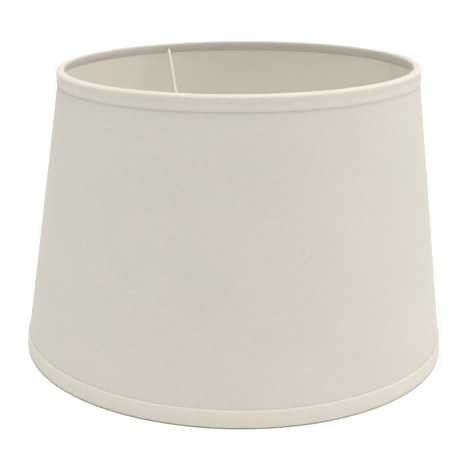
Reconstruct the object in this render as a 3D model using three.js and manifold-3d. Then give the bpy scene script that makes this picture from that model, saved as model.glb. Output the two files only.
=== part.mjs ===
// Tapered hardback lamp shade, 245 mm across the top, 300 mm across the bottom and 199 mm tall.
//
// Two wire rings hold a cone of stiff plastic sheet with fabric bonded to its outside. The cone is a flat
// arc of the two sheets, rolled up and lapped at one seam. A strip of fabric is folded over each ring.
// Three bent wires hang a pressed fitter ring below the top ring, and a lampholder clamps that ring.
//
// Millimetres. The origin is the centre of the bottom edge, +Z is up and -Y is the front.

import * as THREE from 'three';
import { mergeVertices } from 'three/addons/utils/BufferGeometryUtils.js';
import Module from 'manifold-3d';

// ---------------------------------------------------------------- driving dimensions

const height = 199;
const topRadius = 122.5; // over the trim tape, level with the top ring
const bottomRadius = 150; // over the trim tape, level with the bottom ring

const ringWireRadius = 1.5;
const armWireRadius = 1.1;

const linerThickness = 0.5;
const coverThickness = 0.35;
const seamTapeThickness = 0.2;
const tapeThickness = 0.45; // one layer of trim tape
const tapeRoll = 1.0; // trim tape where it is doubled over the outer side of a ring
const glueLine = 0.08; // space between bonded layers
const cutClearance = 0.3; // space round a wire that passes through the tape

const topBand = 9.8; // from the top edge down to the top tape's outer hem
const bottomBand = 12.4; // from the bottom edge up to the bottom tape's outer hem
const innerBand = 7.5; // from either edge to the tape's hem inside the shade

const facetCount = 60; // flat facets round the shade
const seamAngle = 29; // free edge of the lap, in degrees from +X towards +Y
const lapFacets = 1; // facets that the lap covers
const rampFacets = 3; // facets over which the outer end of the sheet lifts to lie on the lap

const armAngles = { back_left: 117.5, front_left: 237.5, right: 357.5 };
const armLean = 23; // degrees from the vertical
const armBendRadius = 14;
const fitterDrop = 52; // from the top edge to the arms' level run

const fitterHoleRadius = 20.5;
const fitterOuterRadius = 27.5;
const fitterSheet = 1.5;
const fitterLip = 2.5; // how far the lip round the hole is turned down
const fitterEase = 0.8; // rounding where the lip turns
const armEndRadius = 23; // where the arms end, under the fitter ring

// ---------------------------------------------------------------- sizes that follow

const radians = THREE.MathUtils.degToRad;
const facetAngle = 360 / facetCount;

const tapeOverWire = ringWireRadius + glueLine + tapeThickness;
const coverOutside = ringWireRadius + glueLine + linerThickness + glueLine + coverThickness;
const ringInset = coverOutside + glueLine + tapeRoll;

const topRing = { radius: topRadius - ringInset, z: height - tapeOverWire };
const bottomRing = { radius: bottomRadius - ringInset, z: tapeOverWire };
const taper = (bottomRing.radius - topRing.radius) / (topRing.z - bottomRing.z);

const linerInside = bottomRing.radius + ringWireRadius + glueLine; // level with the bottom ring
const coverInside = linerInside + linerThickness + glueLine;
const lapStep = linerThickness + coverThickness + seamTapeThickness + 3 * glueLine;

const lapStart = seamAngle - lapFacets * facetAngle;
const rampStart = lapStart - rampFacets * facetAngle;

// ---------------------------------------------------------------- materials

const fabricMaterial = () => new THREE.MeshStandardMaterial({ color: 0xe6e1d5, roughness: 0.95, metalness: 0 });
const linerMaterial = () => new THREE.MeshStandardMaterial({ color: 0xe9e4d6, roughness: 0.5, metalness: 0 });
const wireMaterial = () => new THREE.MeshStandardMaterial({ color: 0xf2eee4, roughness: 0.4, metalness: 0 });
const seamTapeMaterial = () => new THREE.MeshStandardMaterial({ color: 0xdedbd0, roughness: 0.6, metalness: 0 });

// ---------------------------------------------------------------- shared shape helpers

const shade = new THREE.Group();

function add(name, geometry, material) {
  const mesh = new THREE.Mesh(geometry, material);
  mesh.name = name;
  shade.add(mesh);
}

function polar(radius, degrees) {
  return new THREE.Vector2(radius * Math.cos(radians(degrees)), radius * Math.sin(radians(degrees)));
}

// How far the rolled sheet stands off the plain cone. The angle runs on past a full turn, so that
// the outer end of the sheet rises over the ramp and lies on the start of the sheet along the lap.
function sheetLift(degrees) {
  const along = (degrees - 360 - rampStart) / (lapStart - rampStart);
  return lapStep * THREE.MathUtils.clamp(along, 0, 1);
}

// The same lift for what covers the shade's outside, at any angle round it.
function outsideLift(degrees) {
  const fromRamp = THREE.MathUtils.euclideanModulo(degrees - rampStart, 360);
  const onLap = fromRamp <= seamAngle - rampStart + facetAngle / 2;
  return onLap ? sheetLift(rampStart + fromRamp + 360) : 0;
}

// A closed ring turned about Z from a closed profile of (radius, height) points, clockwise from outside.
// Its facets' corners fall on the seam, so that nested rings and sheets keep their spacing.
function turned(profile, segments = facetCount) {
  const closed = [...profile, profile[0]];
  const geometry = new THREE.LatheGeometry(closed, segments, radians(seamAngle + 90), 2 * Math.PI);
  geometry.rotateX(Math.PI / 2);
  return geometry;
}

function moveVertices(geometry, move) {
  const position = geometry.attributes.position;
  const vertex = new THREE.Vector3();
  for (let i = 0; i < position.count; i += 1) {
    vertex.fromBufferAttribute(position, i);
    move(vertex);
    position.setXYZ(i, vertex.x, vertex.y, vertex.z);
  }
  geometry.computeVertexNormals();
}

function pushOut(vertex, distance) {
  const scale = 1 + distance / Math.hypot(vertex.x, vertex.y);
  vertex.x *= scale;
  vertex.y *= scale;
}

// ---------------------------------------------------------------- wire rings

function wireRing(ring) {
  const sides = 8;
  const profile = [];
  for (let side = 0; side < sides; side += 1) {
    const corner = polar(ringWireRadius, (side * 360) / sides);
    profile.push(new THREE.Vector2(ring.radius + corner.x, ring.z + corner.y));
  }
  return turned(profile);
}

add('top_ring_wire', wireRing(topRing), wireMaterial());
add('bottom_ring_wire', wireRing(bottomRing), wireMaterial());

// ---------------------------------------------------------------- rolled sheets

// A sheet that wraps round the cone between two facet corners. Its plan is extruded upwards and then
// drawn in towards the axis as it rises, so that its thickness stays the same.
function rolledSheet(inside, thickness, from, to, lift) {
  const inner = [];
  const outer = [];
  const facets = Math.round((to - from) / facetAngle);
  for (let i = 0; i <= facets; i += 1) {
    const angle = from + i * facetAngle;
    inner.push(polar(inside + lift(angle), angle));
    outer.push(polar(inside + thickness + lift(angle), angle));
  }
  const plan = new THREE.Shape([...outer, ...inner.reverse()]);
  const geometry = new THREE.ExtrudeGeometry(plan, { depth: topRing.z - bottomRing.z, bevelEnabled: false });
  moveVertices(geometry, (vertex) => {
    pushOut(vertex, -taper * vertex.z);
    vertex.z += bottomRing.z;
  });
  return geometry;
}

const liner = rolledSheet(linerInside, linerThickness, lapStart, seamAngle + 360, sheetLift);
add('liner_panel', liner, linerMaterial());

const cover = rolledSheet(coverInside, coverThickness, lapStart, seamAngle + 360, sheetLift);
add('fabric_cover', cover, fabricMaterial());

// The seam tape lies in the lap, between the start of the cover and the end of the liner.
const seamTapeInside = coverInside + coverThickness + glueLine;
const seamTape = rolledSheet(seamTapeInside, seamTapeThickness, lapStart, seamAngle, () => 0);
add('seam_tape', seamTape, seamTapeMaterial());

// ---------------------------------------------------------------- spider arms

// Each arm starts against the underside of the top ring, leans inwards as it drops, and bends to run
// level under the fitter ring. The path is drawn in the plane of radius and height, and then turned.
const armLevel = height - fitterDrop;
const armDirection = new THREE.Vector2(-Math.sin(radians(armLean)), -Math.cos(radians(armLean)));
const armStart = new THREE.Vector2(topRing.radius, topRing.z)
  .addScaledVector(armDirection, ringWireRadius + glueLine);

function armPath(degrees) {
  const corner = armStart.clone().addScaledVector(armDirection, (armLevel - armStart.y) / armDirection.y);
  const tangent = armBendRadius * Math.tan(radians(90 - armLean) / 2);
  const bendStart = corner.clone().addScaledVector(armDirection, -tangent);
  const bendEnd = new THREE.Vector2(corner.x - tangent, corner.y);
  const end = new THREE.Vector2(armEndRadius, armLevel);
  const place = (point) => {
    const plan = polar(point.x, degrees);
    return new THREE.Vector3(plan.x, plan.y, point.y);
  };
  const path = new THREE.CurvePath();
  path.add(new THREE.LineCurve3(place(armStart), place(bendStart)));
  path.add(new THREE.QuadraticBezierCurve3(place(bendStart), place(corner), place(bendEnd)));
  path.add(new THREE.LineCurve3(place(bendEnd), place(end)));
  return path;
}

function wireAlong(path, radius, sides, steps) {
  const section = new THREE.Shape();
  for (let side = 0; side < sides; side += 1) {
    const corner = polar(radius, ((side + 0.5) * 360) / sides);
    if (side === 0) {
      section.moveTo(corner.x, corner.y);
    } else {
      section.lineTo(corner.x, corner.y);
    }
  }
  section.closePath();
  return new THREE.ExtrudeGeometry(section, { steps, bevelEnabled: false, extrudePath: path });
}

for (const [place, degrees] of Object.entries(armAngles)) {
  add(`spider_arm_${place}`, wireAlong(armPath(degrees), armWireRadius, 8, 36), wireMaterial());
}

// ---------------------------------------------------------------- fitter ring

// A pressed steel washer with its hole's edge turned down. The arms are welded to its underside.
function fitterRing() {
  const under = armLevel + armWireRadius + glueLine;
  const top = under + fitterSheet;
  const lipOutside = fitterHoleRadius + fitterSheet;
  const profile = [
    new THREE.Vector2(fitterOuterRadius, under),
    new THREE.Vector2(fitterOuterRadius, top),
    new THREE.Vector2(fitterHoleRadius + fitterEase, top),
    new THREE.Vector2(fitterHoleRadius, top - fitterEase),
    new THREE.Vector2(fitterHoleRadius, under - fitterLip),
    new THREE.Vector2(lipOutside, under - fitterLip),
    new THREE.Vector2(lipOutside, under),
  ];
  return turned(profile, 48);
}

add('fitter_ring', fitterRing(), wireMaterial());

// ---------------------------------------------------------------- trim tapes

// The middle line of the folded tape round one ring, as points measured from the ring's centre:
// x outwards, and rise towards the shade's edge. The fold runs up the outside of the cover, over the
// edge with a short flat on it, round the ring wire and back along the liner.
function tapeMiddle(band, wallLean) {
  const wall = (rise) => wallLean * rise;
  const hemRise = tapeOverWire - band;
  const innerHemRise = tapeOverWire - innerBand;
  const halfTape = tapeThickness / 2;
  const crown = tapeOverWire - halfTape;
  const flatFrom = 0.7;
  const flatTo = -0.5;
  const outside = coverOutside + glueLine + tapeRoll / 2;
  const onLiner = ringWireRadius - halfTape;
  const middle = [{ x: coverOutside + glueLine + halfTape + wall(hemRise), rise: hemRise, thickness: tapeThickness }];
  for (const turn of [0, 45, 90]) {
    const facing = polar(1, turn);
    const thickness = THREE.MathUtils.lerp(tapeRoll, tapeThickness, turn / 90);
    middle.push({ x: flatFrom + (outside - flatFrom) * facing.x, rise: crown * facing.y, thickness, facing });
  }
  for (const turn of [90, 135, 180]) {
    const facing = polar(1, turn);
    const x = flatTo + (crown + flatTo) * facing.x;
    middle.push({ x, rise: crown * facing.y, thickness: tapeThickness, facing });
  }
  // under the wire, and across to the liner
  for (const [x, rise] of [[-1.62, -0.95], [-1.1, -1.8], [0, -2.55]]) {
    middle.push({ x, rise, thickness: tapeThickness });
  }
  for (const rise of [-3.5, innerHemRise]) {
    middle.push({ x: onLiner + wall(rise), rise, thickness: tapeThickness });
  }
  return middle;
}

// Thickens a middle line to both sides into a closed outline. A point with no facing of its own is
// thickened square to the line between its neighbours.
function thickened(middle) {
  const outer = [];
  const inner = [];
  middle.forEach((point, i) => {
    const before = middle[Math.max(i - 1, 0)];
    const after = middle[Math.min(i + 1, middle.length - 1)];
    const square = new THREE.Vector2(after.rise - before.rise, before.x - after.x).normalize();
    const half = (point.facing ?? square).clone().multiplyScalar(point.thickness / 2);
    outer.push(new THREE.Vector2(point.x + half.x, point.rise + half.y));
    inner.push(new THREE.Vector2(point.x - half.x, point.rise - half.y));
  });
  return [...outer, ...inner.reverse()];
}

// The tape round one ring. It lies over the lapped seam, so its outer side lifts with the sheet there.
function trimTape(ring, band, upwards) {
  const outline = thickened(tapeMiddle(band, -taper * upwards));
  const profile = outline.map((point) => new THREE.Vector2(ring.radius + point.x, ring.z + upwards * point.y));
  if (upwards < 0) {
    profile.reverse();
  }
  const geometry = turned(profile);
  moveVertices(geometry, (vertex) => {
    const fromWire = Math.hypot(vertex.x, vertex.y) - ring.radius + taper * (vertex.z - ring.z);
    const share = THREE.MathUtils.smoothstep(fromWire, ringWireRadius, coverOutside + glueLine / 2);
    const degrees = THREE.MathUtils.radToDeg(Math.atan2(vertex.y, vertex.x));
    pushOut(vertex, share * outsideLift(degrees));
  });
  return geometry;
}

// Solid cutting, for the places where the arms pass through the top tape.
const wasm = await Module();
wasm.setup();

function toSolid(geometry) {
  const bare = geometry.clone();
  bare.deleteAttribute('normal');
  bare.deleteAttribute('uv');
  const merged = mergeVertices(bare, 1e-4);
  const vertProperties = new Float32Array(merged.attributes.position.array);
  const triVerts = new Uint32Array(merged.index.array);
  return new wasm.Manifold(new wasm.Mesh({ numProp: 3, vertProperties, triVerts }));
}

function toGeometry(solid) {
  const mesh = solid.getMesh();
  const geometry = new THREE.BufferGeometry();
  geometry.setAttribute('position', new THREE.BufferAttribute(mesh.vertProperties, 3));
  geometry.setIndex(new THREE.BufferAttribute(mesh.triVerts, 1));
  geometry.computeVertexNormals();
  return geometry;
}

function topTape() {
  let tape = toSolid(trimTape(topRing, topBand, 1));
  for (const degrees of Object.values(armAngles)) {
    const notch = wireAlong(armPath(degrees), armWireRadius + cutClearance, 8, 36);
    tape = tape.subtract(toSolid(notch));
  }
  return toGeometry(tape);
}

add('top_trim_tape', topTape(), fabricMaterial());
add('bottom_trim_tape', trimTape(bottomRing, bottomBand, -1), fabricMaterial());

export default shade;
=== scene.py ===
"""The looks of a tapered hardback lamp shade: ivory cotton over a white liner, with folded trim tapes.

Every sheet, tape and wire is modelled with its own thickness, in metres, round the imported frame. The
sheets are rolled from a flat arc and lapped at one seam. Each trim tape is a strip with its outer edge
turned under, folded over its ring and lapped on itself.
"""

import math

import bmesh
import bpy
import numpy as np
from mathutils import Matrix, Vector, noise


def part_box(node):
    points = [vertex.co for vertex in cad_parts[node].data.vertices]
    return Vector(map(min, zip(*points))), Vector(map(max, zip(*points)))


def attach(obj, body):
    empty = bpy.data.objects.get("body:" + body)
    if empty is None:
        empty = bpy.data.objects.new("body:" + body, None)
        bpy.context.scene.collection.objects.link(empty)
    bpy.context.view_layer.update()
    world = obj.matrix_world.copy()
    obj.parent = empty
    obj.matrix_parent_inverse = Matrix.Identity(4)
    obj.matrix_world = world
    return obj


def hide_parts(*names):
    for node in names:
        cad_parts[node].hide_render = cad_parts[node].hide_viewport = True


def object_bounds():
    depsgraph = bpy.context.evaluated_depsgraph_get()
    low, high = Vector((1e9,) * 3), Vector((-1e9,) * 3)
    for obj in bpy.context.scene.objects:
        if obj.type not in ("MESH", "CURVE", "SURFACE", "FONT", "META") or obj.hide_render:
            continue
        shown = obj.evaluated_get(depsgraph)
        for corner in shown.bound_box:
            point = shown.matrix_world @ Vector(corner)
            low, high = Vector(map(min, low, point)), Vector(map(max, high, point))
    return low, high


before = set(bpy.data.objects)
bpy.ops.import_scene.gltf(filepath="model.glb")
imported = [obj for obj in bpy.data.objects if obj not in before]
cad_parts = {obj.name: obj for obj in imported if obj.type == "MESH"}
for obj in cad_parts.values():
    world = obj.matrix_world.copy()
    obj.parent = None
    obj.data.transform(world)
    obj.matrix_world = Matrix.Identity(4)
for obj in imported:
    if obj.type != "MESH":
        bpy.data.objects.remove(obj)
cad_low, cad_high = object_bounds()

MM = 0.001

# ---------------------------------------------------------------- camera

CAMERA_PLACE = Vector((-0.0004, -0.7265, 0.3075))
CAMERA_PITCH = math.radians(17.66)
CAMERA_ROLL = math.radians(1.04)
CAMERA_LENS = 81.5  # millimetres, as is the sensor
CAMERA_SENSOR = 36.0

camera_data = bpy.data.cameras.new("camera")
camera_data.lens = CAMERA_LENS
camera_data.sensor_width = CAMERA_SENSOR
camera = bpy.data.objects.new("camera", camera_data)
camera.location = CAMERA_PLACE
camera.rotation_mode = "XYZ"
forward = Vector((0.0, math.cos(CAMERA_PITCH), -math.sin(CAMERA_PITCH)))
camera.rotation_euler = forward.to_track_quat("-Z", "Y").to_euler()
camera.rotation_euler.rotate_axis("Z", CAMERA_ROLL)
bpy.context.scene.collection.objects.link(camera)
bpy.context.scene.camera = camera

# ---------------------------------------------------------------- sizes, from the frame


def ring_of(node):
    """The radius of a CAD ring's centre line, its height and its wire's radius."""
    low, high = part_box(node)
    wire = (high.z - low.z) / 2
    return {"radius": high.x - wire, "z": (low.z + high.z) / 2, "wire": wire}


TOP = ring_of("top_ring_wire")
BOTTOM = ring_of("bottom_ring_wire")
HEIGHT = cad_high.z
TAPER = (BOTTOM["radius"] - TOP["radius"]) / (TOP["z"] - BOTTOM["z"])
HALF_ANGLE = math.atan(TAPER)

GLUE = 0.08 * MM
LINER = 0.5 * MM
COVER = 0.35 * MM
LAP_TAPE = 0.2 * MM
TAPE = 0.26 * MM
BEAD = 2.0 * MM  # radius of the tape's outside over a ring

LINER_INSIDE = BOTTOM["wire"] + GLUE  # from the bottom ring's centre line, level with it
COVER_INSIDE = LINER_INSIDE + LINER + GLUE
COVER_OUTSIDE = COVER_INSIDE + COVER
LAP_STEP = LINER + COVER + LAP_TAPE + 3 * GLUE

SEAM = 29.0  # free edge of the lap, in degrees from +X towards +Y
LAP_START = 23.0
RAMP_START = -22.0
SKIVED = 2.4  # degrees over which the liner's inner end thins and bends out to the layer round it
TURNED_IN = 1.6  # degrees of cover turned in round the liner's outer end
STEP_EASE = 1.6  # degrees over which a tape comes down from the free edge
TAPE_LAP = 16.0  # degrees that each trim tape laps itself

LEAN = 0.0227  # the top edge's slope, up to the right
SPREAD_TOP = 0.6 * MM  # how far the top ring spreads the wall
SPREAD_BOTTOM = -0.8 * MM  # and the bottom ring, which draws it in
SPREAD_FROM = 8.0 * MM  # below the top ring, where the spread starts
SPREAD_OVER = 7.0 * MM  # and the height over which it grows
DRAWN_OVER = 4.5 * MM  # height above the bottom ring that is drawn in
WALL_WAVE = 0.35 * MM  # the most that the wall waves in or out between the rings


def smooth(value, low, high):
    t = np.clip((value - low) / (high - low), 0.0, 1.0)
    return t * t * (3.0 - 2.0 * t)


def noise_at(*point):
    return noise.noise(Vector(point))


def wall_wave(degrees, z):
    """The slight waviness of the rolled wall, which the rings hold true at both ends."""
    angle = math.radians(degrees)
    up = (z - BOTTOM["z"]) / (TOP["z"] - BOTTOM["z"])
    held = math.sin(math.pi * min(max(up, 0.0), 1.0))
    return WALL_WAVE * held * noise_at(2.2 * math.cos(angle), 2.2 * math.sin(angle), 6.0 * z)


def sheet_lift(degrees):
    """How far the rolled sheet stands off the plain cone. The angle runs on past a full turn."""
    return LAP_STEP * float(smooth(degrees - 360.0, RAMP_START, LAP_START))


def outside_lift(degrees):
    """The same lift for the tapes over the lap, with the step at the free edge eased."""
    around = (degrees - RAMP_START) % 360.0
    to_edge = SEAM - RAMP_START
    if around > to_edge + STEP_EASE:
        return 0.0
    rise = float(smooth(around, 0.0, LAP_START - RAMP_START))
    fall = float(smooth(around, to_edge, to_edge + STEP_EASE))
    return LAP_STEP * rise * (1.0 - fall)


# ---------------------------------------------------------------- mesh helpers


def as_made(points):
    """The shade's own small errors: its top leans, and each ring holds the wall a little off the cone."""
    made = np.array(points, float)
    height = made[..., 2]
    near_top = np.clip((height - TOP["z"] + SPREAD_FROM) / SPREAD_OVER, 0.0, 1.0)
    near_bottom = np.clip((BOTTOM["z"] + DRAWN_OVER - height) / DRAWN_OVER, 0.0, 1.0)
    spread = SPREAD_TOP * near_top**2 + SPREAD_BOTTOM * near_bottom**2
    made[..., :2] *= (1.0 + spread / np.hypot(made[..., 0], made[..., 1]))[..., None]
    made[..., 2] += LEAN * made[..., 0] * made[..., 2] / HEIGHT
    made[..., 2] = np.maximum(made[..., 2], 0.0)  # the bottom tape's lap is pressed flat on the table
    return made


def loft(name, rings, closed=False, flat=None, wear=None, sharp=40.0):
    """A solid through a row of rings, each a closed loop of as many points. An open row gets end caps.

    flat holds each point's place on the uncut cloth, in metres, and wear how rubbed it is, from 0 to 1.
    """
    rings = as_made(rings)
    rows, across = rings.shape[:2]
    faces = []
    for i in range(rows if closed else rows - 1):
        here, there = i * across, ((i + 1) % rows) * across
        for j in range(across):
            k = (j + 1) % across
            faces.append((here + j, here + k, there + k, there + j))
    if not closed:
        for start, step in ((0, 1), ((rows - 1) * across, -1)):
            for j in range(across // 2 - 1):
                corners = (j, j + 1, across - 2 - j, across - 1 - j)
                faces.append(tuple(start + c for c in corners[::-step]))
    mesh = bpy.data.meshes.new(name)
    mesh.from_pydata(rings.reshape(-1, 3).tolist(), [], faces)
    if flat is not None:
        layer = mesh.uv_layers.new(name="flat")
        corner = np.zeros(len(mesh.loops), np.int32)
        mesh.loops.foreach_get("vertex_index", corner)
        layer.data.foreach_set("uv", np.asarray(flat, np.float32).reshape(-1, 2)[corner].ravel())
    if wear is not None:
        rubbed = mesh.attributes.new("wear", "FLOAT", "POINT")
        rubbed.data.foreach_set("value", np.asarray(wear, np.float32).ravel())
    bm = bmesh.new()
    bm.from_mesh(mesh)
    bmesh.ops.recalc_face_normals(bm, faces=bm.faces)
    if bm.calc_volume(signed=True) < 0:
        bmesh.ops.reverse_faces(bm, faces=bm.faces)
    bm.to_mesh(mesh)
    bm.free()
    mesh.shade_smooth()
    mesh.set_sharp_from_angle(angle=math.radians(sharp))
    piece = bpy.data.objects.new(name, mesh)
    bpy.context.scene.collection.objects.link(piece)
    return piece


def around_axis(radius, degrees, z):
    angle = np.radians(degrees)
    return np.stack([radius * np.cos(angle), radius * np.sin(angle), z + 0.0 * angle], axis=-1)


def finish_piece(piece, material, slot, *nodes):
    piece.data.materials.append(material)
    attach(piece, "root")
    if nodes:
        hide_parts(*nodes)
    return piece


# ---------------------------------------------------------------- materials


def new_material(name):
    material = bpy.data.materials.new(name)
    material.use_nodes = True
    tree = material.node_tree
    shader = next(n for n in tree.nodes if n.type == "BSDF_PRINCIPLED")
    return material, tree, shader


def add_node(tree, kind, settings=(), **inputs):
    """A node with some of its settings and inputs given. An input given an output is linked to it."""
    made = tree.nodes.new(kind)
    for key, value in dict(settings).items():
        setattr(made, key, value)
    for key, value in inputs.items():
        socket = made.inputs[int(key[1:])] if key[0] == "_" else made.inputs[key]
        if isinstance(value, bpy.types.NodeSocket):
            tree.links.new(value, socket)
        else:
            socket.default_value = value
    return made


def maths(tree, operation, first, second=0.0):
    return add_node(tree, "ShaderNodeMath", {"operation": operation}, _0=first, _1=second).outputs[0]


def blend_colours(tree, amount, first, second):
    made = add_node(tree, "ShaderNodeMix", {"data_type": "RGBA"})
    tree.links.new(amount, made.inputs[0])
    for socket, value in ((made.inputs[6], first), (made.inputs[7], second)):
        if isinstance(value, bpy.types.NodeSocket):
            tree.links.new(value, socket)
        else:
            socket.default_value = (*value, 1.0)
    return made.outputs[2]


def noise_of(tree, vector, scale, detail=2.0, stretch=(1.0, 1.0, 1.0)):
    moved = add_node(tree, "ShaderNodeMapping", Vector=vector, Scale=stretch).outputs[0]
    made = add_node(tree, "ShaderNodeTexNoise", Vector=moved, Scale=scale, Detail=detail)
    return made.outputs["Fac"]


def ramp(tree, value, low, high, to_low=0.0, to_high=1.0):
    made = add_node(tree, "ShaderNodeMapRange", _0=value, _1=low, _2=high, _3=to_low, _4=to_high)
    return made.outputs[0]


THREAD = 0.42 * MM  # from one thread of the cotton to the next
THREAD_WANDER = 0.12 * MM
THREAD_RELIEF = 0.06 * MM
SLUB_LONG, SLUB_ACROSS = 45.0, 2100.0  # how often thick places come along a thread, and across threads
COTTON_SHEEN = (1.0, 0.98, 0.93, 1.0)


def cotton(name, colour, shadow, rubbed, bump=0.55):
    """Fine plain-weave cotton, woven in the plane of the uncut cloth."""
    material, tree, shader = new_material(name)
    flat = add_node(tree, "ShaderNodeUVMap", {"uv_map": "flat"}).outputs[0]
    wander = add_node(tree, "ShaderNodeTexNoise", Vector=flat, Scale=260.0, Detail=1.0).outputs["Color"]
    nudge = add_node(tree, "ShaderNodeVectorMath", {"operation": "SCALE"}, _0=wander, Scale=THREAD_WANDER)
    moved = add_node(tree, "ShaderNodeVectorMath", _0=flat, _1=nudge.outputs[0]).outputs[0]
    split = add_node(tree, "ShaderNodeSeparateXYZ", _0=moved)
    warp = maths(tree, "SINE", maths(tree, "MULTIPLY", split.outputs[0], math.pi / THREAD))
    weft = maths(tree, "SINE", maths(tree, "MULTIPLY", split.outputs[1], math.pi / THREAD))
    on_top = maths(tree, "GREATER_THAN", maths(tree, "MULTIPLY", warp, weft), 0.0)
    round_warp = maths(tree, "ABSOLUTE", warp)
    round_weft = maths(tree, "ABSOLUTE", weft)
    across = maths(tree, "SUBTRACT", round_warp, round_weft)
    weave = maths(tree, "ADD", round_weft, maths(tree, "MULTIPLY", across, on_top))
    slub_weft = noise_of(tree, flat, 1.0, 2.0, (SLUB_LONG, SLUB_ACROSS, 1.0))
    slub_warp = noise_of(tree, flat, 1.0, 2.0, (SLUB_ACROSS, SLUB_LONG, 1.0))
    slubs = maths(tree, "MULTIPLY", maths(tree, "ADD", slub_warp, slub_weft), 0.5)
    height = maths(tree, "ADD", maths(tree, "MULTIPLY", weave, 0.45), slubs)
    # Painted shade in the weave's hollows, where one thread dips under the next, together with the real
    # lighter and darker tone of the slubs.
    weave_shade_and_slubs = ramp(tree, maths(tree, "ADD", maths(tree, "MULTIPLY", weave, 0.25), slubs), 0.45, 0.85)
    clumps = ramp(tree, noise_of(tree, flat, 1.0, 2.0, (260.0, 370.0, 1.0)), 0.3, 0.7)
    mottle = ramp(tree, noise_of(tree, flat, 22.0, 3.0), 0.3, 0.7)
    tone = maths(tree, "MULTIPLY", weave_shade_and_slubs, 0.25)
    for pattern, weight in ((clumps, 0.35), (mottle, 0.3)):
        tone = maths(tree, "ADD", tone, maths(tree, "MULTIPLY", pattern, weight))
    cloth = blend_colours(tree, tone, shadow, colour)
    wear = add_node(tree, "ShaderNodeAttribute", {"attribute_name": "wear"}).outputs["Fac"]
    patchy = maths(tree, "MULTIPLY", wear, ramp(tree, noise_of(tree, flat, 320.0, 3.0), 0.3, 0.65))
    tree.links.new(blend_colours(tree, patchy, cloth, rubbed), shader.inputs["Base Color"])
    rough = ramp(tree, slubs, 0.3, 0.7, 0.82, 0.95)
    tree.links.new(rough, shader.inputs["Roughness"])
    lumps = add_node(tree, "ShaderNodeBump", Strength=bump, Distance=THREAD_RELIEF, Height=height)
    tree.links.new(lumps.outputs[0], shader.inputs["Normal"])
    shader.inputs["Specular IOR Level"].default_value = 0.25
    shader.inputs["Sheen Weight"].default_value = 0.12
    shader.inputs["Sheen Roughness"].default_value = 0.6
    shader.inputs["Sheen Tint"].default_value = COTTON_SHEEN
    return material


def speckled(name, colour, shadow, grain, depth, rough, spec=0.4, coat=0.0):
    """A plain coating or plastic, with a fine grain, uneven gloss and faint marks."""
    material, tree, shader = new_material(name)
    place = add_node(tree, "ShaderNodeTexCoord").outputs["Object"]
    fine = noise_of(tree, place, grain, 3.0)
    broad = noise_of(tree, place, 14.0, 3.0)
    tone = ramp(tree, maths(tree, "ADD", maths(tree, "MULTIPLY", fine, 0.35), broad), 0.45, 0.95)
    tree.links.new(blend_colours(tree, tone, shadow, colour), shader.inputs["Base Color"])
    tree.links.new(ramp(tree, broad, 0.3, 0.7, rough - 0.06, rough + 0.08), shader.inputs["Roughness"])
    lumps = add_node(tree, "ShaderNodeBump", Strength=0.5, Distance=depth, Height=fine)
    tree.links.new(lumps.outputs[0], shader.inputs["Normal"])
    shader.inputs["Specular IOR Level"].default_value = spec
    shader.inputs["Coat Weight"].default_value = coat
    return material


RUBBED = (0.62, 0.58, 0.50)
SATIN_GRAIN = 0.02 * MM
PAINT_GRAIN = 0.03 * MM

cover_cotton = cotton("cover_cotton", (0.64, 0.602, 0.532), (0.575, 0.542, 0.475), RUBBED)
trim_cotton = cotton("trim_cotton", (0.67, 0.63, 0.557), (0.61, 0.573, 0.503), RUBBED)
# The liner's colour is its own near-white, lifted well above the cotton's to paint in the light that a real
# shade lets through its walls onto the inside.
liner_plastic = speckled(
    "liner_plastic", (0.92, 0.885, 0.80), (0.90, 0.865, 0.775), 1500.0, SATIN_GRAIN, 0.48
)
lap_adhesive = speckled("lap_adhesive", (0.72, 0.70, 0.62), (0.68, 0.66, 0.58), 900.0, SATIN_GRAIN, 0.35)
wire_paint = speckled(
    "wire_paint", (0.86, 0.82, 0.74), (0.82, 0.78, 0.69), 2600.0, PAINT_GRAIN, 0.36, spec=0.5, coat=0.15
)

# ---------------------------------------------------------------- rolled sheets

SHEET_STEP = 1.5  # degrees from one station to the next
LINER_END = SEAM + 360.0 - 0.35  # the cover is turned in round it, up to the seam
EDGE = 0.1 * MM  # the liner's thickness at its inner end
RING_ROWS = np.linspace(0.0, 9.0, 10) * MM  # the sheets bend most within this distance of each ring
WALL_ROWS = 24

sheet_heights = np.concatenate(
    [
        BOTTOM["z"] + RING_ROWS,
        np.linspace(BOTTOM["z"], TOP["z"], WALL_ROWS)[2:-2],
        TOP["z"] - RING_ROWS[::-1],
    ]
)


def flat_place(degrees, radius, z):
    """Where a point of a cone lies once it is unrolled flat, with the seam at the flat arc's ends."""
    slant = radius / math.sin(HALF_ANGLE)
    turn = math.radians(degrees - SEAM - 180.0) * math.sin(HALF_ANGLE)
    return (slant * math.sin(turn), slant * math.cos(turn))


def column(degrees, offset, thickness, heights):
    """A cross-section of a rolled sheet at one angle, as a thin loop, and its place on the flat cloth."""
    outer, inner, flat = [], [], []
    for z in heights:
        base = BOTTOM["radius"] + offset - TAPER * (z - BOTTOM["z"]) + wall_wave(degrees, z)
        outer.append(around_axis(base + thickness, degrees, z))
        inner.append(around_axis(base, degrees, z))
        flat.append(flat_place(degrees, base, z))
    return outer + inner[::-1], flat + flat[::-1]


def rolled(name, stations, heights):
    """A thin sheet through stations, each an angle, how far the inner face stands out, and the thickness."""
    loops, flats = [], []
    for degrees, offset, thickness in stations:
        loop, flat = column(degrees, offset, thickness, heights)
        loops.append(loop)
        flats.append(flat)
    return loft(name, loops, flat=flats)


def liner_station(degrees):
    """Where the liner's inner face lies. Its inner end is pared down and lies on the layer round it."""
    full = float(smooth(degrees, LAP_START, LAP_START + SKIVED))
    outer_face = LINER + (1.0 - full) * (LAP_STEP - GLUE - LINER)
    thickness = EDGE + full * (LINER - EDGE)
    return degrees, LINER_INSIDE + outer_face - thickness + sheet_lift(degrees), thickness


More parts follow.
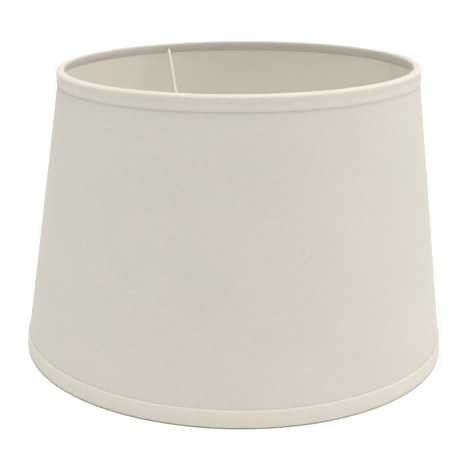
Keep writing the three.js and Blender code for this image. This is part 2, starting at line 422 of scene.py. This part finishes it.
inner_end = np.linspace(LAP_START, LAP_START + SKIVED, 7)[:-1]
liner_angles = [*inner_end, *np.arange(LAP_START + SKIVED, LINER_END - 0.3, SHEET_STEP), LINER_END]
liner_sheet = rolled("liner_sheet", [liner_station(a) for a in liner_angles], sheet_heights)
finish_piece(liner_sheet, liner_plastic, "liner_plastic", "liner_panel")


def cover_rings():
    """The cover's cross-sections: round the outside of the liner, round its end and back inside it."""
    cover_angles = np.arange(LAP_START + SKIVED, SEAM + 360.0 - 0.3, SHEET_STEP)
    stations = [(a, COVER_INSIDE + sheet_lift(a) + COVER / 2, 90.0) for a in cover_angles]
    last = COVER_INSIDE + LAP_STEP + COVER / 2
    inside = LINER_INSIDE + LAP_STEP - GLUE - COVER / 2
    middle, reach = (last + inside) / 2, (last - inside) / 2
    to_degrees = math.degrees(1.0 / (BOTTOM["radius"] + middle))
    for turn in np.linspace(90.0, -90.0, 9):
        swing = math.radians(turn)
        nose = LINER_END + 0.1 + to_degrees * reach * math.cos(swing)
        stations.append((nose, middle + reach * math.sin(swing), turn))
    for a in np.linspace(LINER_END, LINER_END - TURNED_IN, 4)[1:]:
        stations.append((a, inside, -90.0))
    loops, flats = [], []
    arc = 0.0
    before = None
    for a, offset, facing in stations:
        swing = math.radians(facing)
        out_step = COVER / 2 * math.sin(swing)
        side_step = to_degrees * COVER / 2 * math.cos(swing)
        outer, inner, flat = [], [], []
        here = (math.radians(a) * (BOTTOM["radius"] + offset), offset)
        arc += 0.0 if before is None else math.hypot(here[0] - before[0], here[1] - before[1])
        before = here
        along = LAP_START + SKIVED + math.degrees(arc / (BOTTOM["radius"] + COVER_INSIDE))
        for z in sheet_heights:
            base = BOTTOM["radius"] + offset - TAPER * (z - BOTTOM["z"]) + wall_wave(a, z)
            outer.append(around_axis(base + out_step, a + side_step, z))
            inner.append(around_axis(base - out_step, a - side_step, z))
            flat.append(flat_place(along, base, z))
        loops.append(outer + inner[::-1])
        flats.append(flat + flat[::-1])
    return loops, flats


cover_loops, cover_flats = cover_rings()
unworn = np.zeros(np.array(cover_loops).shape[:2])
cover_cloth = loft("cover_cloth", cover_loops, flat=cover_flats, wear=unworn)
finish_piece(cover_cloth, cover_cotton, "cover_fabric", "fabric_cover")

lap_angles = np.linspace(LAP_START + SKIVED + 0.2, SEAM - TURNED_IN - 0.6, 4)
lap_tape = rolled("lap_tape", [(a, COVER_OUTSIDE + GLUE, LAP_TAPE) for a in lap_angles], sheet_heights)
finish_piece(lap_tape, lap_adhesive, "seam_tape", "seam_tape")

# ---------------------------------------------------------------- trim tapes

TOP_BAND = 9.8 * MM  # from the edge of the shade to the tape's outer hem
BOTTOM_BAND = 12.4 * MM
INNER_BAND = 7.5 * MM
TURNED_HEM = 2.2 * MM
TAPE_STEP = 1.0  # degrees from one station to the next
CUT_EDGE = 0.14 * MM  # the tape's thickness where a cut edge is pressed flat
BOTTOM_LAPPED = 0.18 * MM  # each layer's thickness where the bottom tape laps itself


def smooth_line(points, per_span):
    """A smooth line through points, by Catmull and Rom's spline."""
    points = np.array(points, float)
    padded = np.vstack([2 * points[0] - points[1], points, 2 * points[-1] - points[-2]])
    line = []
    for i in range(1, len(padded) - 2):
        p0, p1, p2, p3 = padded[i - 1 : i + 3]
        for t in np.arange(per_span) / per_span:
            line.append(
                0.5
                * (
                    2 * p1
                    + (p2 - p0) * t
                    + (2 * p0 - 5 * p1 + 4 * p2 - p3) * t**2
                    + (3 * p1 - p0 - 3 * p2 + p3) * t**3
                )
            )
    return np.array([*line, points[-1]])


def tape_line(band, inner_band, upwards, roll):
    """The middle of a trim tape across its width, as points outwards and towards the edge from the ring.

    It starts at the cut edge of the outer hem, which is turned under, runs up the outside and over the
    ring, and ends at the cut edge inside. Roll is how far it stands off the cover, level with the ring.
    """
    lean = -TAPER * upwards
    hem = BEAD - band + TAPE / 2
    inner_edge = BEAD - inner_band
    on_cover = COVER_OUTSIDE + GLUE + TAPE / 2
    on_liner = BOTTOM["wire"] - TAPE / 2
    layer = TAPE + 0.1 * MM  # what the turned hem adds, with a little air in it
    rolled_out = on_cover + roll
    crown = BEAD - TAPE / 2
    fold = 0.26 * MM  # between the two layers' middles, where the hem is folded
    tucked = on_cover - GLUE

    def outside(out, rise):
        return (out + lean * rise, rise)

    return [
        outside(on_cover - 0.5 * (TAPE - CUT_EDGE), hem + TURNED_HEM),
        outside(on_cover, hem + 0.6 * TURNED_HEM),
        outside(tucked, hem + 0.9 * fold),
        outside(tucked + 0.15 * fold, hem + 0.2 * fold),
        outside(tucked + 0.5 * fold, hem),
        outside(tucked + 0.85 * fold, hem + 0.2 * fold),
        outside(tucked + fold, hem + 0.9 * fold),
        outside(on_cover + layer, hem + 0.6 * TURNED_HEM),
        outside(on_cover + 0.97 * layer, hem + 1.3 * TURNED_HEM),
        outside(on_cover + 0.9 * layer, -3.2 * MM),
        outside(on_cover + 0.95 * layer, -2.2 * MM),
        outside(on_cover + 0.5 * (layer + roll), -1.45 * MM),
        (rolled_out - 0.05 * MM, -0.7 * MM),
        (rolled_out, 0.1 * MM),
        (1.0 * MM + 0.75 * (rolled_out - 1.0 * MM), 0.68 * crown),
        (1.0 * MM, crown),
        (-0.8 * MM, crown),
        (-0.8 * MM - 0.72 * (crown - 0.8 * MM), 0.72 * crown),
        (-crown, 0.0),
        (-0.98 * crown, -0.6 * crown),
        (-0.84 * crown, -1.2 * crown),
        (-0.3 * crown, -3.3 * MM),
        outside(on_liner - 0.35 * MM, -4.4 * MM),
        outside(on_liner, inner_edge + 0.6 * MM),
        outside(on_liner + 0.5 * (TAPE - CUT_EDGE), inner_edge),
    ]


def trim_tape(name, ring, band, inner_band, upwards, roll, lapped, seed):
    """A tape folded round one ring. Lapped is each layer's thickness where the tape laps itself."""
    line = smooth_line(tape_line(band, inner_band, upwards, roll), 3)
    spans = np.linalg.norm(np.diff(line, axis=0), axis=1)
    across = np.concatenate([[0.0], np.cumsum(spans)])
    step = np.diff(line, axis=0) / spans[:, None]
    ahead = np.vstack([step[:1], step[1:] + step[:-1], step[-1:]])
    ahead /= np.linalg.norm(ahead, axis=1)[:, None]
    face = np.stack([ahead[:, 1], -ahead[:, 0]], axis=1)
    out = line[:, 0] + TAPER * upwards * line[:, 1]
    share = smooth(out, BOTTOM["wire"], COVER_OUTSIDE + GLUE / 2)
    low_side = smooth(-line[:, 1], 0.0, band * 0.7)
    inside = smooth(-out, -1.2 * MM, 0.5 * MM) * smooth(-line[:, 1], 0.0, 2.0 * MM)
    crown_wear = smooth(line[:, 1], 0.6 * MM, 1.8 * MM)
    from_cut = np.minimum(across, across[-1] - across)
    pressed = 1.0 - (1.0 - CUT_EDGE / TAPE) * (1.0 - smooth(from_cut, 0.0, 1.2 * MM))
    from_fold = np.abs(across - across[np.argmin(line[: len(line) // 2, 1])])
    pressed *= 1.0 - 0.65 * (1.0 - smooth(from_fold, 0.3 * MM, 1.6 * MM))
    loops, flats, wears = [], [], []
    first, last = SEAM - TAPE_LAP, SEAM + 360.0
    for degrees in np.linspace(first, last, int((last - first) / TAPE_STEP) + 1):
        angle = math.radians(degrees)
        ca, sa = math.cos(angle), math.sin(angle)
        wander = noise_at(3.0 * ca + seed, 3.0 * sa, 0.0)
        fuss = noise_at(11.0 * ca + seed, 11.0 * sa, 4.0)
        pucker = noise_at(34.0 * ca + seed, 34.0 * sa, 9.0)
        start_layer = 1.0 - float(smooth(degrees, first + TAPE_LAP + 1.0, first + TAPE_LAP + 4.0))
        end_layer = float(smooth(degrees, first + 354.0, first + 359.5))
        thickness = TAPE + (lapped - TAPE) * max(start_layer, end_layer)
        over = end_layer * (lapped + 0.02 * MM) - max(start_layer, end_layer) * (TAPE - lapped) / 2
        shift = 0.10 * MM * wander + 0.05 * MM * fuss
        rise = line[:, 1] + low_side * (0.28 * MM * wander + 0.10 * MM * fuss)
        radius = ring["radius"] + line[:, 0] + share * (outside_lift(degrees) + 0.5 * shift)
        push = over + 0.07 * MM * inside * pucker + 0.05 * MM * share * (fuss + 0.6 * pucker)
        radius = radius + face[:, 0] * push
        z = ring["z"] + upwards * (rise + face[:, 1] * push)
        half = face * (thickness / 2 * pressed)[:, None]
        outer = around_axis(radius + half[:, 0], degrees, z + upwards * half[:, 1])
        inner = around_axis(radius - half[:, 0], degrees, z - upwards * half[:, 1])
        loops.append(np.vstack([outer, inner[::-1]]))
        along = math.radians(degrees - first) * ring["radius"]
        flat = np.stack([np.full(len(line), along), across], axis=1)
        flats.append(np.vstack([flat, flat[::-1]]))
        worn = crown_wear * (0.25 + 0.5 * wander + 0.4 * fuss)
        wears.append(np.concatenate([worn, worn[::-1]]))
    piece = loft(name, loops, flat=flats, wear=np.clip(wears, 0.0, 1.0), sharp=55.0)
    length = math.radians(last - first) * ring["radius"]
    return piece, (float(across[-1]), length)


top_trim, top_flat = trim_tape("top_trim", TOP, TOP_BAND, INNER_BAND, 1.0, 0.6 * MM, TAPE, 2.0)
bottom_trim, bottom_flat = trim_tape(
    "bottom_trim", BOTTOM, BOTTOM_BAND, INNER_BAND, -1.0, 0.45 * MM, BOTTOM_LAPPED, 17.0
)

# ---------------------------------------------------------------- spider

ARM_WIRE = 1.1 * MM
ARM_ANGLES = {"back_left": 117.5, "front_left": 237.5, "right": 357.5}
ARM_LEAN = math.radians(23.0)
ARM_BEND = 14.0 * MM
FITTER_LOW, FITTER_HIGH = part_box("fitter_ring")
FITTER_RADIUS = FITTER_HIGH.x
FITTER_SHEET = 1.5 * MM
FITTER_HOLE = 20.5 * MM
FITTER_EASE = 0.8 * MM
ARM_LEVEL = FITTER_HIGH.z - FITTER_SHEET - GLUE - ARM_WIRE
ARM_END = 23.0 * MM


def arm_line(reach=0.0):
    """The arm's centre line, as points of radius and height from the top ring to under the fitter."""
    along = np.array([-math.sin(ARM_LEAN), -math.cos(ARM_LEAN)])
    start = np.array([TOP["radius"], TOP["z"]]) + (TOP["wire"] + GLUE - reach) * along
    corner = start + along * (ARM_LEVEL - start[1]) / along[1]
    tangent = ARM_BEND * math.tan((math.pi / 2 - ARM_LEAN) / 2)
    bend_from = corner - tangent * along
    bend_to = corner + tangent * np.array([-1.0, 0.0])
    line = [start + (bend_from - start) * t for t in np.linspace(0.0, 1.0, 16)[:-1]]
    for t in np.linspace(0.0, 1.0, 14):
        line.append((1 - t) ** 2 * bend_from + 2 * t * (1 - t) * corner + t**2 * bend_to)
    end = np.array([ARM_END, ARM_LEVEL])
    line += [bend_to + (end - bend_to) * t for t in np.linspace(0.0, 1.0, 14)[1:]]
    return np.array(line)


def tube(name, centres, radii, sides=16, closed=False):
    """A round wire along a line of points. Its ends are rounded by the radii given."""
    centres = np.array(centres, float)
    if closed:
        ahead = np.roll(centres, -1, axis=0) - np.roll(centres, 1, axis=0)
    else:
        ahead = np.gradient(centres, axis=0)
    ahead /= np.linalg.norm(ahead, axis=1)[:, None]
    side = np.cross(ahead, [0.0, 0.0, 1.0])
    side /= np.linalg.norm(side, axis=1)[:, None]
    over = np.cross(side, ahead)
    turns = np.linspace(0.0, 2 * math.pi, sides, endpoint=False)
    rings = [
        c + r * (np.outer(np.cos(turns), s) + np.outer(np.sin(turns), o))
        for c, r, s, o in zip(centres, radii, side, over)
    ]
    return loft(name, rings, closed=closed)


def round_ends(centres, radius, steps=4):
    """Adds a short rounded nose to both ends of a line. Returns the centres and their radii."""
    centres = np.array(centres, float)
    radii = np.full(len(centres), radius)
    for end in (0, -1):
        step = centres[end] - centres[1 if end == 0 else -2]
        step /= np.linalg.norm(step)
        swing = np.linspace(0.0, math.pi / 2 * 0.94, steps + 1)[1:]
        nose = [centres[end] + step * radius * 0.6 * math.sin(s) for s in swing]
        sizes = [radius * math.cos(s) for s in swing]
        if end == 0:
            centres, radii = np.vstack([nose[::-1], centres]), np.concatenate([sizes[::-1], radii])
        else:
            centres, radii = np.vstack([centres, nose]), np.concatenate([radii, sizes])
    return centres, radii


def in_space(line, degrees):
    return around_axis(line[:, 0], np.full(len(line), degrees), line[:, 1])


def bowed(points, seed):
    """A drawn wire is never quite straight."""
    ends = np.sin(np.linspace(0.0, math.pi, len(points)))
    for i, point in enumerate(points):
        sway = noise_at(0.35 * i / 5.0, seed, 0.0)
        point += ends[i] * 0.25 * MM * np.array([sway, noise_at(seed, 0.35 * i / 5.0, 3.0), 0.0])
    return points


for number, (place, degrees) in enumerate(ARM_ANGLES.items()):
    centres, radii = round_ends(bowed(in_space(arm_line(), degrees), 3.0 + 7.0 * number), ARM_WIRE)
    arm = tube(f"arm_{place}", centres, radii)
    finish_piece(arm, wire_paint, "coated_wire", f"spider_arm_{place}")

for name, ring in (("top_ring", TOP), ("bottom_ring", BOTTOM)):
    stations = np.linspace(0.0, 360.0, 180, endpoint=False)
    centres = around_axis(ring["radius"], stations, ring["z"])
    wire = tube(name, centres, np.full(len(stations), ring["wire"]), sides=14, closed=True)
    finish_piece(wire, wire_paint, "coated_wire", f"{name}_wire")


def rounded(corners, radii, steps=5):
    """A closed outline with its corners rounded, as points of radius and height."""
    outline = []
    count = len(corners)
    for i, radius in enumerate(radii):
        here = np.array(corners[i], float)
        before = np.array(corners[i - 1], float) - here
        after = np.array(corners[(i + 1) % count], float) - here
        a = here + before / np.linalg.norm(before) * radius
        b = here + after / np.linalg.norm(after) * radius
        for t in np.linspace(0.0, 1.0, steps):
            outline.append((1 - t) ** 2 * a + 2 * t * (1 - t) * here + t**2 * b)
    return np.array(outline)


def fitter():
    top = FITTER_HIGH.z
    under = top - FITTER_SHEET
    lip = FITTER_HOLE + FITTER_SHEET
    corners = [
        (FITTER_RADIUS, under),
        (FITTER_RADIUS, top),
        (FITTER_HOLE, top),
        (FITTER_HOLE, FITTER_LOW.z),
        (lip, FITTER_LOW.z),
        (lip, under),
    ]
    outline = rounded(corners, [0.35 * MM, 0.5 * MM, 1.3 * MM, 0.3 * MM, 0.3 * MM, 0.5 * MM])
    stations = np.linspace(0.0, 360.0, 144, endpoint=False)
    rings = [around_axis(outline[:, 0], np.full(len(outline), a), outline[:, 1]) for a in stations]
    return loft("fitter", rings, closed=True)


finish_piece(fitter(), wire_paint, "coated_wire", "fitter_ring")

# ---------------------------------------------------------------- welds


def weld(name, centre, size, seed):
    """A small lump of weld metal."""
    bm = bmesh.new()
    bmesh.ops.create_icosphere(bm, subdivisions=3, radius=1.0)
    for vertex in bm.verts:
        lumpy = 1.0 + 0.10 * noise_at(*(1.7 * vertex.co + Vector((seed, 0.0, 0.0))))
        vertex.co = Vector([c * s * lumpy for c, s in zip(vertex.co, size)]) + Vector(centre)
    bm.verts.ensure_lookup_table()
    placed = as_made([vertex.co for vertex in bm.verts])
    for vertex, co in zip(bm.verts, placed):
        vertex.co = co
    mesh = bpy.data.meshes.new(name)
    bm.to_mesh(mesh)
    bm.free()
    mesh.shade_smooth()
    piece = bpy.data.objects.new(name, mesh)
    bpy.context.scene.collection.objects.link(piece)
    return finish_piece(piece, wire_paint, "coated_wire")


WELD_RADIUS = 0.5 * (FITTER_HOLE + FITTER_SHEET + FITTER_RADIUS)
WELD_LEVEL = ARM_LEVEL + 0.9 * MM
WELD_SIZE = (2.0 * MM, 2.0 * MM, 0.6 * MM)

for number, (place, degrees) in enumerate(ARM_ANGLES.items()):
    weld(f"weld_{place}", around_axis(WELD_RADIUS, degrees, WELD_LEVEL), WELD_SIZE, 5.0 * number)

# ---------------------------------------------------------------- notches in the top tape


SLIT_ROWS = ((1.6, 0.9), (4.0, 1.25), (8.5, 2.1))  # each how far below the ring, and half the width, in mm
SLIT_REACH = 5.0 * MM  # inwards of the ring
LINER_MARGIN = 0.04 * MM  # left between the slit and the liner
ARM_CLEARANCE = 0.35 * MM


def slit_cutter(name, degrees):
    """A wedge that opens the tape's inner side below an arm, from beside the wire past the cut edge."""
    rings = []
    for below, half_width in SLIT_ROWS:
        rise = -below * MM
        inward, outward = -SLIT_REACH, BOTTOM["wire"] + LINER_MARGIN - TAPER * rise
        corners = []
        for out, side in ((inward, -1.0), (inward, 1.0), (outward, 1.0), (outward, -1.0)):
            radius = TOP["radius"] + out
            turn = math.degrees(side * half_width * MM / radius)
            corners.append(around_axis(radius, degrees + turn, TOP["z"] + rise))
        rings.append(corners)
    return loft(name, rings)


def cut_notches(piece):
    """Cuts the top tape where the arms pass through its inner side, and slits it below each arm."""
    for place, degrees in ARM_ANGLES.items():
        centres = in_space(arm_line(reach=0.4 * MM)[:8], degrees)
        hole = tube(f"cutter_{place}", centres, np.full(len(centres), ARM_WIRE + ARM_CLEARANCE), sides=20)
        for cutter in (hole, slit_cutter(f"slit_{place}", degrees)):
            cut = piece.modifiers.new("notch", "BOOLEAN")
            cut.operation = "DIFFERENCE"
            cut.solver = "EXACT"
            cut.object = cutter
            shown = bpy.context.evaluated_depsgraph_get()
            whole = bpy.data.meshes.new_from_object(piece.evaluated_get(shown))
            piece.modifiers.clear()
            piece.data = whole
            bpy.data.objects.remove(cutter)
    piece.data.set_sharp_from_angle(angle=math.radians(55.0))


cut_notches(top_trim)
for piece, node in ((top_trim, "top_trim_tape"), (bottom_trim, "bottom_trim_tape")):
    finish_piece(piece, trim_cotton, "trim_fabric", node)

# ---------------------------------------------------------------- floor, world and lights


FLOOR_HALF = 7.0  # metres from its middle to its sides
PAPER_LIGHT = (0.92, 0.92, 0.915)
PAPER_DARK = (0.90, 0.90, 0.895)
WORLD_STRENGTH = 0.32
CEILING_STRENGTH = 2.92
CEILING_TILT = math.radians(4.5)  # from straight overhead towards the front
CEILING_SPREAD = math.radians(30.0)


def make_floor():
    mesh = bpy.data.meshes.new("floor")
    corners = [(x * FLOOR_HALF, y * FLOOR_HALF, 0.0) for x, y in ((-1, -1), (1, -1), (1, 1), (-1, 1))]
    mesh.from_pydata(corners, [], [(0, 1, 2, 3)])
    floor = bpy.data.objects.new("floor", mesh)
    material, tree, shader = new_material("floor_paper")
    place = add_node(tree, "ShaderNodeTexCoord").outputs["Object"]
    tone = noise_of(tree, place, 3.0, 2.0)
    tree.links.new(blend_colours(tree, tone, PAPER_DARK, PAPER_LIGHT), shader.inputs["Base Color"])
    shader.inputs["Roughness"].default_value = 0.9
    shader.inputs["Specular IOR Level"].default_value = 0.1
    mesh.materials.append(material)
    bpy.context.scene.collection.objects.link(floor)


make_floor()

world = bpy.data.worlds.new("studio")
world.use_nodes = True
background = world.node_tree.nodes["Background"]
background.inputs["Color"].default_value = (1.0, 1.0, 1.0, 1.0)
background.inputs["Strength"].default_value = WORLD_STRENGTH
bpy.context.scene.world = world


def soft_light(name, place, target_height, side, power):
    """A square light, turned to a point on the shade's axis."""
    target = Vector((0.0, 0.0, target_height))
    data = bpy.data.lights.new(name, "AREA")
    data.shape = "SQUARE"
    data.size = side
    data.energy = power
    light = bpy.data.objects.new(name, data)
    light.location = place
    light.rotation_mode = "QUATERNION"
    light.rotation_quaternion = (target - Vector(place)).to_track_quat("-Z", "Y")
    bpy.context.scene.collection.objects.link(light)


soft_light("fill", (0.0, -2.8, 3.0), 0.15, 1.4, 14.0)
soft_light("right", (2.4, 0.0, 1.1), 0.12, 1.6, 18.5)
soft_light("left", (-2.4, 0.0, 1.1), 0.12, 1.6, 6.5)

# A broad ceiling light, as a sun of the same size in the sky, so that the whole floor is lit alike.
ceiling_data = bpy.data.lights.new("ceiling", "SUN")
ceiling_data.angle = CEILING_SPREAD
ceiling_data.energy = CEILING_STRENGTH
ceiling = bpy.data.objects.new("ceiling", ceiling_data)
ceiling.rotation_mode = "XYZ"
ceiling.rotation_euler = (CEILING_TILT, 0.0, 0.0)
ceiling.location = (0.0, -0.2, 3.0)
bpy.context.scene.collection.objects.link(ceiling)

bpy.context.scene.view_settings.view_transform = "Standard"
bpy.context.scene.view_settings.look = "None"
